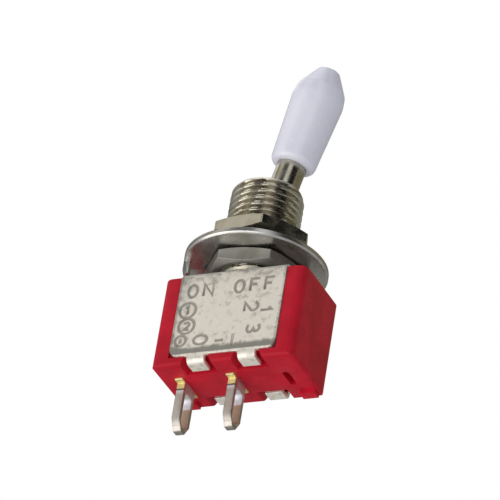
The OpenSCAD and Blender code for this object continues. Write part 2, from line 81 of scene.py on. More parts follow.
class Slot(Enum):
    """Names for material slots, which no piece here is given."""

    RED = "red_plastic"
    BRACKET = "bracket_steel"
    NICKEL = "nickel_brass"
    PLATED = "plated_steel"
    SLEEVE = "white_sleeve"
    SPRING = "spring_steel"
    LUG = "silvered_copper"


# ---- shader maths


class Value:
    """One output socket of a shader graph, with arithmetic that adds Math nodes."""

    def __init__(self, graph: "Graph", socket: bpy.types.NodeSocket) -> None:
        """Keeps the graph and the socket."""
        self.graph = graph
        self.socket = socket

    def _math(self, operation: str, *others: Union["Value", float]) -> "Value":
        """Adds one Math node, with this value as its first input and the others after it."""
        return self.graph.node("ShaderNodeMath", {"operation": operation}, dict(enumerate((self, *others))))

    def __add__(self, other: Union["Value", float]) -> "Value":
        """Sum."""
        return self._math("ADD", other)

    def __mul__(self, other: Union["Value", float]) -> "Value":
        """Product."""
        return self._math("MULTIPLY", other)

    def __sub__(self, other: Union["Value", float]) -> "Value":
        """Difference."""
        return self._math("SUBTRACT", other)

    def __rsub__(self, other: float) -> "Value":
        """Difference from a number on the left."""
        return (self * -1.0) + other

    def __abs__(self) -> "Value":
        """Absolute value."""
        return self._math("ABSOLUTE")

    def most(self, other: "Value") -> "Value":
        """The greater of two values."""
        return self._math("MAXIMUM", other)

    def ramp(self, low: float, high: float, to_low: float = 0.0, to_high: float = 1.0) -> "Value":
        """Maps the stretch low to high onto to_low to to_high, smoothly and clamped."""
        settings = {"interpolation_type": "SMOOTHSTEP"}
        inputs = {"Value": self, "From Min": low, "From Max": high, "To Min": to_low, "To Max": to_high}
        return self.graph.node("ShaderNodeMapRange", settings, inputs)


class Graph:
    """The nodes of a material or of the world, made by one general method."""

    def __init__(self, name: str, world: bool = False) -> None:
        """Starts an empty material of that name, or an empty world."""
        self.owner = (bpy.data.worlds if world else bpy.data.materials).new(name)
        self.owner.use_nodes = True
        self.tree = self.owner.node_tree
        self.tree.nodes.clear()
        self.last = self.tree.nodes.new("ShaderNodeOutputWorld" if world else "ShaderNodeOutputMaterial")

    def node(
        self,
        kind: str,
        settings: Optional[Dict[str, object]] = None,
        inputs: Optional[Dict[Union[str, int], object]] = None,
        output: Union[str, int] = 0,
    ) -> Value:
        """Adds a node.

        Args:
            kind: the node's type.
            settings: the node's own properties, set first.
            inputs: for each input socket, by name or place, a Value to link or a constant.
            output: which output is returned, by name or place.

        Returns:
            That output.
        """
        made = self.tree.nodes.new(kind)
        for key, value in (settings or {}).items():
            setattr(made, key, value)
        for key, value in (inputs or {}).items():
            socket = made.inputs[key]
            if isinstance(value, Value):
                self.tree.links.new(value.socket, socket)
            else:
                socket.default_value = value
        return Value(self, made.outputs[output])

    def place(self) -> Value:
        """The point in the object's own frame, in metres."""
        return self.node("ShaderNodeTexCoord", output="Object")

    def axes(self) -> List[Value]:
        """The x, y and z of the point."""
        split = self.node("ShaderNodeSeparateXYZ", inputs={0: self.place()})
        return [Value(self, out) for out in split.socket.node.outputs]

    def noise(self, scale: float, detail: float = 3.0, stretch: Sequence[float] = (1, 1, 1)) -> Value:
        """Cloudy noise.

        Args:
            scale: cycles in a metre.
            detail: octaves.
            stretch: factors on x, y and z, above 1 for finer.

        Returns:
            The noise, from 0 to 1 about 0.5.
        """
        mapped = self.node("ShaderNodeMapping", inputs={"Vector": self.place(), "Scale": tuple(stretch)})
        inputs = {"Vector": mapped, "Scale": scale, "Detail": detail, "Roughness": 0.6}
        return self.node("ShaderNodeTexNoise", inputs=inputs)

    def mix(self, factor: Value, low: Union[Colour, Value], high: Union[Colour, Value]) -> Value:
        """Blends two colours by a factor."""
        first, last = (end if isinstance(end, Value) else (*end, 1.0) for end in (low, high))
        return self.node("ShaderNodeMix", {"data_type": "RGBA"}, {0: factor, 6: first, 7: last}, output=2)

    def bump(self, height: Value, depth: float) -> Value:
        """Turns a height from 0 to 1 into a normal, with the depth in metres."""
        return self.node("ShaderNodeBump", inputs={"Height": height, "Distance": depth})

    def finish(self, **sockets: object) -> bpy.types.Material:
        """Ends the material with its surface shader, whose inputs are named with underscores for spaces."""
        named = {key.replace("_", " "): value for key, value in sockets.items()}
        return self.surface(self.node("ShaderNodeBsdfPrincipled", inputs=named))

    def surface(self, shader: Value) -> Union[bpy.types.Material, bpy.types.World]:
        """Links a shader to the output, and returns the material or the world."""
        self.tree.links.new(shader.socket, self.last.inputs["Surface"])
        return self.owner


# ---- finishes


@dataclass(frozen=True)
class MouldedPlastic:
    """Coloured plastic from a mould: cloudy colour, fine orange peel and gloss that wears unevenly."""

    name: str
    colour: Colour
    shade: Colour
    roughness: float = 0.34
    peel_mm: float = 0.012
    cloud_scale: float = 420.0
    sheen_level: float = 0.22

    def build(self) -> bpy.types.Material:
        """Returns the material."""
        g = Graph(self.name)
        cloud = g.noise(self.cloud_scale, 4.0).ramp(0.36, 0.66)
        speck = g.noise(self.cloud_scale * 9, 2.0)
        colour = g.mix(cloud, self.shade, self.colour)
        rough = speck.ramp(0.3, 0.7, self.roughness - 0.05, self.roughness + 0.08)
        peel = g.noise(self.cloud_scale * 7, 2.0)
        return g.finish(
            Base_Color=colour, Roughness=rough, Normal=g.bump(peel, self.peel_mm * MM),
            Specular_IOR_Level=self.sheen_level,
        )


@dataclass(frozen=True)
class PlatedMetal:
    """Nickel plate over metal: slightly yellowed, with dull patches and fine scratches."""

    name: str
    colour: Colour
    tarnish: Colour
    roughness: float = 0.2
    spread: float = 0.12
    scratch_mm: float = 0.004
    stretch: Triple = (1.0, 1.0, 5.0)

    def build(self) -> bpy.types.Material:
        """Returns the material."""
        g = Graph(self.name)
        stain = g.noise(520.0, 4.0).ramp(0.42, 0.7)
        patch = g.noise(900.0, 3.0).ramp(0.35, 0.7)
        scratch = g.noise(3200.0, 2.0, self.stretch)
        colour = g.mix(stain, self.colour, self.tarnish)
        rough = patch * self.spread + self.roughness
        return g.finish(
            Base_Color=colour, Metallic=1.0, Roughness=rough, Normal=g.bump(scratch, self.scratch_mm * MM)
        )


@dataclass(frozen=True)
class StampedSheet:
    """Pale stainless sheet: matt, warm and finely mottled, with painted shade near its sides, its foot and
    its top, and a painted highlight along its top bend.
    """

    name: str
    colour: Colour
    grey: Colour
    side: float
    foot: float
    roughness: float = 0.46

    def build(self) -> bpy.types.Material:
        """Returns the material. The painted shade follows the distance from its sides, its foot and its top.
        """
        g = Graph(self.name)
        x, _, z = g.axes()
        cloud = g.noise(560.0, 5.0).ramp(0.38, 0.7)
        fleck = g.noise(2300.0, 3.0).ramp(0.44, 0.7)
        # Painted shade, standing in for dark reflections: greyer at the sides, over the left end, in a ragged
        # band above the foot that stops just short of the bottom edge, and towards the top.
        sides = abs(x).ramp(self.side - 0.32 * MM, self.side - 0.1 * MM)
        left = x.ramp(-self.side, -self.side + 1.9 * MM, 1.0, 0.0)
        ragged = z + g.noise(300.0, 2.0) * 0.5 * MM
        foot = ragged.ramp(self.foot + 0.65 * MM, self.foot + 1.25 * MM, 1.0, 0.0)
        apron = z.ramp(self.foot + 0.14 * MM, self.foot + 0.22 * MM)
        top = z.ramp(-1.7 * MM, -0.7 * MM)
        painted_shade = foot * apron * 1.3 + sides * 0.45 + left * 0.42 + top * 0.32
        # The grey mixes this painted shade with the sheet's own random mottling.
        mottle_and_shade = (painted_shade + cloud * 0.28 + fleck * 0.5).ramp(0.06, 1.4)
        # Painted highlight: the top bend is brightened and made less metallic, fading out towards the left
        # end.
        bend = z.ramp(-0.34 * MM, -0.2 * MM) * x.ramp(-self.side, -self.side + 1.4 * MM)
        grain = g.noise(4200.0, 3.0, (1.0, 1.0, 0.6))
        dent = g.noise(1500.0, 2.0)
        return g.finish(
            Base_Color=g.mix(bend * 0.8, g.mix(mottle_and_shade, self.colour, self.grey), (0.98, 0.96, 0.9)),
            Metallic=0.48 - bend * 0.2,
            Roughness=cloud * 0.1 + self.roughness,
            Normal=g.bump(grain * 0.35 + dent * 0.65, 0.045 * MM),
        )


@dataclass(frozen=True)
class SolderLug:
    """Silver-plated blade with a yellow brass shoulder, a painted shadow line just under it and a band that
    pales towards it. The wire eye's inner walls carry a painted brown reflection, with a painted pale
    highlight at their top.
    """

    name: str
    silver: Colour
    stain: Colour
    wall: Colour
    brass: Colour
    pale_and_highlight: Colour
    brass_from: float
    eye_half: float
    eye_low: float
    eye_high: float

    def build(self) -> bpy.types.Material:
        """Returns the material. Height and the narrow edges bound the brass, and a window the eye, whose
        walls take the painted reflection and highlight.
        """
        g = Graph(self.name)
        _, y, z = g.axes()
        cloud = g.noise(700.0, 4.0).ramp(0.4, 0.68)
        rim = 0.05 * MM
        across = abs(y).ramp(self.eye_half + 0.5 * rim, self.eye_half + rim, 1.0, 0.0)
        above = z.ramp(self.eye_low - 2 * rim, self.eye_low - rim)
        below = z.ramp(self.eye_high - 3 * rim, self.eye_high, 1.0, 0.0)
        # Painted reflection: inside the eye the walls take the brown wall colour and lose most of their metal
        # look.
        eye = across * above * below
        # Painted highlight: the top of the eye's inner wall is pale.
        eye_highlight = eye * z.ramp(self.eye_high - 1.05 * MM, self.eye_high - 0.85 * MM)
        # Paler towards the brass shoulder.
        pale_band = z.ramp(self.brass_from - 0.6 * MM, self.brass_from - 0.15 * MM)
        plated = g.mix(pale_band * 0.6, g.mix(cloud * 0.4, self.silver, self.stain), self.pale_and_highlight)
        eye_painted = g.mix(eye_highlight, g.mix(eye, plated, self.wall), self.pale_and_highlight)
        edge = abs(y).ramp(0.88 * MM, 0.99 * MM)
        cut = z.ramp(self.brass_from - 0.03 * MM, self.brass_from + 0.03 * MM) * (edge * 0.9 + 0.1)
        # Painted shadow: a dark line just under the brass shoulder, strongest at the narrow edges.
        groove = abs(z - (self.brass_from - 0.05 * MM)).ramp(0.05 * MM, 0.11 * MM, 1.0, 0.0)
        seam_shadow = groove * (edge * 0.8 + 0.2)
        shaded = g.mix(seam_shadow * 0.85, g.mix(cut, eye_painted, self.brass), (0.05, 0.035, 0.02))
        scratch = g.noise(2600.0, 2.0, (1.0, 1.0, 4.0))
        return g.finish(
            Base_Color=shaded, Metallic=1.0 - eye * 0.75, Roughness=cloud * 0.14 + 0.4,
            Normal=g.bump(scratch, 0.006 * MM),
        )


@dataclass(frozen=True)
class DippedSleeve:
    """Glossy white sleeve: soft plastic with a faint lavender shade and a slow waviness."""

    name: str
    colour: Colour
    shade: Colour
    roughness: float = 0.16

    def build(self) -> bpy.types.Material:
        """Returns the material."""
        g = Graph(self.name)
        cloud = g.noise(260.0, 3.0).ramp(0.35, 0.7)
        smear = g.noise(1500.0, 3.0).ramp(0.4, 0.75)
        wave = g.noise(420.0, 1.0)
        return g.finish(
            Base_Color=g.mix(cloud, self.colour, self.shade),
            Roughness=smear * 0.14 + self.roughness,
            Normal=g.bump(wave, 0.03 * MM),
            Subsurface_Weight=0.12,
            Subsurface_Radius=(0.6 * MM, 0.6 * MM, 0.8 * MM),
            Subsurface_Scale=1.0,
        )


class Finishes:
    """Every material of the switch, made once."""

    def __init__(self) -> None:
        """Builds the materials."""
        self.red = MouldedPlastic(
            "moulded_red", (0.56, 0.008, 0.026), (0.45, 0.006, 0.02), 0.42, sheen_level=0.14
        ).build()
        side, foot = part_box("frame")[1].x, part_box("case")[0].z + 1.1 * MM
        # The sheet's grey is partly painted shade near its sides, foot and top.
        self.sheet = StampedSheet("bracket_sheet", (0.92, 0.86, 0.76), (0.3, 0.29, 0.25), side, foot).build()
        # Painted shade: the groove material is a darker copy of the sheet, for the walls of the stamped
        # grooves.
        self.groove = StampedSheet(
            "bracket_groove_shade", (0.42, 0.39, 0.34), (0.2, 0.19, 0.17), side, foot, 0.55
        ).build()
        self.nickel = PlatedMetal("nickel_plate", (0.56, 0.54, 0.46), (0.44, 0.41, 0.33)).build()
        self.dull_nickel = PlatedMetal(
            "dull_nickel_plate", (0.37, 0.36, 0.33), (0.3, 0.29, 0.26), 0.44
        ).build()
        self.thread = PlatedMetal(
            "nickel_thread", (0.55, 0.52, 0.43), (0.36, 0.32, 0.25), 0.2, stretch=(1.0, 1.0, 1.0)
        ).build()
        self.washer = PlatedMetal(
            "plated_washers", (0.54, 0.53, 0.505), (0.4, 0.39, 0.35), 0.27, 0.08, 0.002
        ).build()
        self.sleeve = DippedSleeve("lever_sleeve", (0.84, 0.83, 0.92), (0.79, 0.78, 0.89)).build()
        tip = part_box("end_terminal")[0].z
        # The lug's wall colour is a painted reflection in the eye; its pale colour is the painted highlight
        # there and also pales the band under the shoulder.
        self.lug = SolderLug(
            "silvered_lug", (0.5, 0.46, 0.42), (0.3, 0.2, 0.14), (0.5, 0.36, 0.26),
            (0.88, 0.76, 0.38), (0.86, 0.87, 0.92),
            tip + 3.78 * MM, 0.61 * MM, tip + 0.5 * MM, tip + 3.6 * MM,
        ).build()
        self.spring = PlatedMetal("spring_wire", (0.5, 0.5, 0.5), (0.4, 0.39, 0.38), 0.28).build()
        self.contact = PlatedMetal("silver_contacts", (0.84, 0.83, 0.8), (0.6, 0.56, 0.5), 0.22).build()
        self.copper = PlatedMetal("silvered_rocker", (0.72, 0.66, 0.58), (0.5, 0.4, 0.3), 0.28).build()
        self.nylon = MouldedPlastic("plunger_nylon", (0.8, 0.78, 0.7), (0.74, 0.71, 0.62), 0.4).build()


# ---- meshes


def link(name: str, mesh: bpy.types.Mesh, material: bpy.types.Material) -> bpy.types.Object:
    """Makes an object at the origin from a mesh, with one material."""
    made = bpy.data.objects.new(name, mesh)
    bpy.context.scene.collection.objects.link(made)
    mesh.materials.append(material)
    return made


def adopt(piece: bpy.types.Object, node: str, body: Body) -> bpy.types.Object:
    """Puts a new piece in a CAD node's place and on its body."""
    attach(piece, body.value)
    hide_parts(node)
    log.info("%s stands for %s: %d faces", piece.name, node, len(piece.data.polygons))
    return piece


def paint(node: str, material: bpy.types.Material) -> None:
    """Gives a CAD node its material, and leaves its mesh alone."""
    data = frame["nodes"][node].data
    data.materials.clear()
    data.materials.append(material)
    log.info("%s painted with %s", node, material.name)


def smooth(mesh: bpy.types.Mesh, angle: float) -> None:
    """Shades a mesh smooth, with sharp edges where faces meet by more than the angle in degrees."""
    mesh.shade_smooth()
    mesh.set_sharp_from_angle(angle=math.radians(angle))


@contextmanager
def editing(mesh: bpy.types.Mesh) -> Iterator[bmesh.types.BMesh]:
    """Opens a mesh for work on its points and faces, and writes it back at the end."""
    work = bmesh.new()
    work.from_mesh(mesh)
    yield work
    work.to_mesh(mesh)
    work.free()


def merge(mesh: bpy.types.Mesh, flatten: bool = True) -> None:
    """Joins a mesh's doubled points and may dissolve the lines across its flat faces."""
    with editing(mesh) as work:
        bmesh.ops.remove_doubles(work, verts=work.verts, dist=DOUBLED)
        if flatten:
            bmesh.ops.dissolve_limit(
                work, angle_limit=math.radians(FLAT_DEG), verts=work.verts, edges=work.edges,
                use_dissolve_boundaries=False,
            )


def weld(mesh: bpy.types.Mesh) -> None:
    """Merges a grid's doubled points and drops the faces that they flatten."""
    with editing(mesh) as work:
        bmesh.ops.remove_doubles(work, verts=work.verts, dist=SAME_POINT)
        bmesh.ops.dissolve_degenerate(work, edges=work.edges, dist=NO_LENGTH)


def merged_copy(node: str, name: str) -> bpy.types.Mesh:
    """Copies a CAD node's mesh, joins its doubled points and dissolves the lines across flat faces."""
    mesh = frame["nodes"][node].data.copy()
    mesh.name = name
    mesh.materials.clear()
    merge(mesh)
    return mesh


def points_of(mesh: bpy.types.Mesh) -> np.ndarray:
    """A mesh's points, as rows of x, y and z in metres."""
    flat = np.empty(len(mesh.vertices) * 3)
    mesh.vertices.foreach_get("co", flat)
    return flat.reshape(-1, 3)


def apply_modifiers(piece: bpy.types.Object) -> None:
    """Bakes a piece's modifiers into its mesh."""
    graph = bpy.context.evaluated_depsgraph_get()
    graph.update()
    done = bpy.data.meshes.new_from_object(piece.evaluated_get(graph), depsgraph=graph)
    piece.modifiers.clear()
    piece.data = done


def combine(piece: bpy.types.Object, operation: str, other: bpy.types.Object, crossing: bool = False) -> None:
    """Adds another shell to a piece, or cuts it away, and removes it. Its own parts may be crossing."""
    step = piece.modifiers.new("combine", "BOOLEAN")
    step.operation = operation
    step.solver = "EXACT"
    step.use_self = crossing
    step.material_mode = "TRANSFER"
    step.object = other
    apply_modifiers(piece)
    bpy.data.objects.remove(other)


def prism(name: str, outline: np.ndarray, low: float, high: float) -> bpy.types.Mesh:
    """Makes an upright prism from an anticlockwise outline in metres, with both ends closed."""
    count = len(outline)
    points = np.concatenate([np.column_stack([outline, np.full(count, z)]) for z in (low, high)])
    i = np.arange(count)
    sides = np.stack([i, (i + 1) % count, (i + 1) % count + count, i + count], axis=1).tolist()
    mesh = bpy.data.meshes.new(name)
    mesh.from_pydata(points.tolist(), [], sides + [i[::-1].tolist(), (i + count).tolist()])
    return mesh


def rectangle(half_x: float, half_y: float) -> np.ndarray:
    """The corners of a rectangle about the origin, anticlockwise."""
    return np.array([[-half_x, -half_y], [half_x, -half_y], [half_x, half_y], [-half_x, half_y]])


def around(radius: Spread, turn: np.ndarray, height: Spread) -> np.ndarray:
    """Points (r cos t, r sin t, h), with radius, turn and height spread over one another."""
    radius, turn, height = np.broadcast_arrays(radius, turn, height)
    return np.stack([radius * np.cos(turn), radius * np.sin(turn), height], axis=-1)


def soften(
    piece: bpy.types.Object, width_mm: float, segments: int = 2, angle: float = 35.0, sharp: float = 32.0
) -> bpy.types.Object:
    """Rounds a piece's sharp edges and shades it smooth.

    Args:
        piece: the piece.
        width_mm: greatest width of the rounding, in millimetres. The overlap limit holds the whole
            piece to what its shortest edges leave room for, which can be far less.
        segments: facets across the rounding.
        angle: edges sharper than this many degrees are rounded.
        sharp: edges still sharper than this afterwards are shaded sharp.

    Returns:
        The piece.
    """
    bevel = piece.modifiers.new("rounding", "BEVEL")
    bevel.width = width_mm * MM
    bevel.segments = segments
    bevel.limit_method = "ANGLE"
    bevel.angle_limit = math.radians(angle)
    apply_modifiers(piece)
    smooth(piece.data, sharp)
    return piece


def softened(
    node: str, name: str, material: bpy.types.Material, width_mm: float, segments: int = 2
) -> bpy.types.Object:
    """Makes a copy of a CAD node with its sharp edges rounded, by at most a width, in so many facets."""
    return soften(link(name, merged_copy(node, name), material), width_mm, segments)


def grid_quads(rows: int, columns: int, close_u: bool, close_v: bool) -> np.ndarray:
    """The four corners of each cell of a grid of points, with its ends joined where asked."""
    i = np.arange(rows if close_v else rows - 1)[:, None]
    j = np.arange(columns if close_u else columns - 1)[None, :]
    i2, j2 = (i + 1) % rows, (j + 1) % columns
    quads = np.stack([i * columns + j, i * columns + j2, i2 * columns + j2, i2 * columns + j], axis=-1)
    return quads.reshape(-1, 4)


def grid_mesh(name: str, points: np.ndarray, close_u: bool, close_v: bool = False) -> bpy.types.Mesh:
    """Makes a mesh from a grid of points.

    Args:
        name: the mesh's name.
        points: an array of rows along v, columns along u and x, y, z, in metres. Seen from outside,
            u runs to the right and v runs up.
        close_u: joins each row's end to its start.
        close_v: joins the last row to the first.

    Returns:
        The mesh, of quads.
    """
    mesh = bpy.data.meshes.new(name)
    mesh.from_pydata(points.reshape(-1, 3), [], grid_quads(*points.shape[:2], close_u, close_v))
    return mesh


def revolve(name: str, profile: np.ndarray, steps: int) -> bpy.types.Mesh:
    """Turns a closed profile about Z.

    Args:
        name: the mesh's name.
        profile: rows of radius and height, in metres, in order up the outside and down the inside.
            A point (r, h) goes to (r cos t, r sin t, h).
        steps: columns round the axis.

    Returns:
        The mesh, with its poles merged.
    """
    turn = np.linspace(0, 2 * math.pi, steps, endpoint=False)
    mesh = grid_mesh(name, around(profile[:, :1], turn, profile[:, 1:]), close_u=True)
    weld(mesh)
    return mesh


def rounded_corner(a: np.ndarray, b: np.ndarray, c: np.ndarray, radius: float, steps: int) -> np.ndarray:
    """Points of the arc that rounds corner b between a and c, worked out from the bisector."""
    u = (a - b) / np.linalg.norm(a - b)
    w = (c - b) / np.linalg.norm(c - b)
    half = math.acos(float(np.clip(u @ w, -1, 1))) / 2
    centre = b + (u + w) / np.linalg.norm(u + w) * radius / math.sin(half)
    p, q = b + u * radius / math.tan(half), b + w * radius / math.tan(half)
    t = np.linspace(0, 1, steps)[:, None]
    chord = p + (q - p) * t - centre
    return centre + radius * chord / np.linalg.norm(chord, axis=1, keepdims=True)


# ---- stamped marks


def arc(cx: float, cy: float, rx: float, ry: float, start: float, end: float, steps: int = 14) -> List[Point]:
    """Points along an ellipse from one angle to another, in degrees."""
    angles = np.radians(np.linspace(start, end, steps))
    return [(cx + rx * math.cos(t), cy + ry * math.sin(t)) for t in angles]


class Stroke(Enum):
    """Generic marks for the bracket, as pen strokes in a box 0.7 wide and 1 high. The ring is wider."""

    O = ([arc(0.35, 0.5, 0.35, 0.5, 90, 450, 22)],)
    N = ([[(0, 0), (0, 1), (0.7, 0), (0.7, 1)]],)
    F = ([[(0.65, 1), (0, 1), (0, 0)], [(0, 0.52), (0.5, 0.52)]],)
    I = ([[(0.35, 0), (0.35, 1)]],)
    DASH = ([[(0.0, 0.5), (0.7, 0.5)]],)
    ONE = ([[(0.1, 0.75), (0.38, 1), (0.38, 0)]],)
    TWO = ([arc(0.35, 0.68, 0.33, 0.32, 165, -30, 10) + [(0.02, 0.0), (0.7, 0.0)]],)
    THREE = ([arc(0.32, 0.75, 0.3, 0.25, 150, -90, 9) + arc(0.32, 0.25, 0.34, 0.25, 90, -150, 10)[1:]],)
    RING = ([arc(0.35, 0.5, 0.5, 0.5, 90, 450, 26)],)

    @property
    def lines(self) -> List[List[Point]]:
        """The mark's pen strokes."""
        return self.value[0]


@dataclass
class Mark:
    """One stamped mark: what it is, where its box starts, its height and its turn."""

    stroke: Stroke
    x: float
    z: float
    height: float
    turn: float = 0.0

    @classmethod
    def centred(cls, stroke: Stroke, x: float, z: float, height: float) -> "Mark":
        """A mark whose box has its middle at a point."""
        return cls(stroke, x - 0.35 * height, z - 0.5 * height, height)

    def paths(self) -> List[np.ndarray]:
        """The strokes as points on the plate, in millimetres."""
        c, s = math.cos(math.radians(self.turn)), math.sin(math.radians(self.turn))
        spun = np.array([[c, s], [-s, c]])
        return [np.array(line) * self.height @ spun + (self.x, self.z) for line in self.stroke.lines]


# ---- sub-assemblies


@dataclass
class Case:
    """The moulded case, with barely softened edges and a short blind slot."""

    finishes: Finishes
    edge_mm: float = 0.2
    slot_x: float = 4.75
    slot_half: Point = (0.43, 1.65)
    slot_fill: float = 1.75
    foot_h: float = 0.3
    blind_at: float = 0.2
    blind_half: float = 1.05
    blind_r: float = 0.3
    blind_deep: float = 1.3
    blind_sides: int = 24

    def build(self) -> None:
        """Makes the case. The unused slot is filled, then cut again, shorter and with round ends."""
        red = self.finishes.red
        piece = link("moulded_case", merged_copy("case", "moulded_case"), red)
        heights = points_of(piece.data)[:, 2]
        low = float(heights[np.abs(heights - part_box("case")[0].z - self.foot_h * MM) < 0.02 * MM].min())
        turn = np.linspace(0, 2 * math.pi, self.blind_sides, endpoint=False) + math.pi / self.blind_sides
        ends = self.blind_at + np.sign(np.sin(turn)) * (self.blind_half - self.blind_r)
        blind = np.column_stack([self.blind_r * np.cos(turn), ends + self.blind_r * np.sin(turn)])
        for name, operation, outline, bottom, deep in (
            ("slot_plug", "UNION", rectangle(*self.slot_half), low, self.slot_fill),
            ("slot_cutter", "DIFFERENCE", blind, low - MM, self.blind_deep),
        ):
            mesh = prism(name, (outline + [self.slot_x, 0]) * MM, bottom, low + deep * MM)
            combine(piece, operation, link(name, mesh, red))
            merge(piece.data)
        adopt(soften(piece, self.edge_mm, 3), "case", Body.SWITCH)


@dataclass
class Bracket:
    """The folded bracket, with rounded edges and generic marks stamped in its front apron."""

    finishes: Finishes
    edge_mm: float = 0.12
    groove_mm: float = 0.19
    sunk_mm: float = 0.135
    sides: int = 16
    front_y: float = field(init=False)
    marks: List[Mark] = field(init=False)

    def __post_init__(self) -> None:
        """Reads the front face's place from the frame and lays the marks out on it."""
        self.front_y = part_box("frame")[0].y
        self.marks = [Mark(*row) for row in (
            (Stroke.O, -4.0, -2.55, 1.2), (Stroke.N, -2.55, -2.55, 1.2),
            (Stroke.O, 0.35, -2.55, 1.2), (Stroke.F, 1.8, -2.55, 1.2), (Stroke.F, 3.15, -2.55, 1.2),
            (Stroke.TWO, 1.55, -3.65, 1.25, -90), (Stroke.ONE, 3.1, -4.2, 1.0, -90),
            (Stroke.THREE, 2.1, -5.9, 1.15, -90), (Stroke.O, -2.75, -6.45, 1.25, -90),
            (Stroke.DASH, -0.75, -7.7, 1.1), (Stroke.I, 0.45, -7.8, 1.2),
        )]
        for stroke, x, z, wide in (
            (Stroke.ONE, -3.77, -3.83, 1.5), (Stroke.TWO, -3.65, -5.4, 1.45), (Stroke.I, -3.98, -6.82, 1.0),
        ):
            self.marks += [Mark.centred(Stroke.RING, x, z, wide), Mark.centred(stroke, x, z, wide * 0.5)]

    def groove(self, path: np.ndarray, closed: bool) -> np.ndarray:
        """Sweeps a round cutter along a stroke.

        Args:
            path: the stroke's points (x, z), in millimetres.
            closed: whether its end meets its start.

        Returns:
            Rows of points, in metres. At each point of the path a circle stands square to the mean
            direction of the two stretches that meet there.
        """
        loop = path[:-1] if closed else path
        before = loop - np.roll(loop, 1, axis=0)
        after = np.roll(loop, -1, axis=0) - loop
        if not closed:
            before[0], after[-1] = after[0], before[-1]
        unit = lambda v: v / np.linalg.norm(v, axis=1, keepdims=True)
        along = unit(unit(before) + unit(after))
        stretch = 1 / np.clip((along * unit(after)).sum(1), 0.5, 1)
        across = np.stack([along[:, 1], -along[:, 0]], axis=1) * stretch[:, None]
        turn = np.linspace(0, 2 * math.pi, self.sides, endpoint=False)
        radius = self.groove_mm
        x = loop[:, :1] + across[:, :1] * radius * np.cos(turn)
        z = loop[:, 1:] + across[:, 1:] * radius * np.cos(turn)
        y = self.front_y / MM - self.sunk_mm + radius * np.sin(turn) + 0 * x
        return np.stack([x, y, z], axis=-1) * MM

    def cutter(self) -> bpy.types.Object:
        """Joins every stroke's groove into one cutting piece, with its open ends capped."""
        points, faces, start = [], [], 0
        for path in [line for mark in self.marks for line in mark.paths()]:
            closed = bool(np.linalg.norm(path[0] - path[-1]) < 1e-3)
            tube = self.groove(path, closed)
            faces += (grid_quads(len(tube), self.sides, True, closed) + start).tolist()
            end = np.arange(self.sides) + start
            start += len(tube) * self.sides
            if not closed:
                faces += [end[::-1].tolist(), (np.arange(self.sides) + start - self.sides).tolist()]
            points.append(tube.reshape(-1, 3))
        mesh = bpy.data.meshes.new("stamping_cutter")
        mesh.from_pydata(np.concatenate(points), [], faces)
        with editing(mesh) as work:
            bmesh.ops.recalc_face_normals(work, faces=work.faces)
        # The cutter carries the darker groove material, painted shade, onto the walls it cuts.
        return link("stamping_cutter", mesh, self.finishes.groove)

    def build(self) -> None:
        """Makes the bracket, then cuts the marks into it."""
        piece = softened("frame", "stamped_bracket", self.finishes.sheet, self.edge_mm, 3)
        # Painted shade: the groove walls take the darker groove material.
        piece.data.materials.append(self.finishes.groove)
        combine(piece, "DIFFERENCE", self.cutter(), crossing=True)
        smooth(piece.data, 32.0)
        even = piece.modifiers.new("even", "WEIGHTED_NORMAL")
        even.keep_sharp = True
        even.weight = 100
        apply_modifiers(piece)
        adopt(piece, "frame", Body.SWITCH)


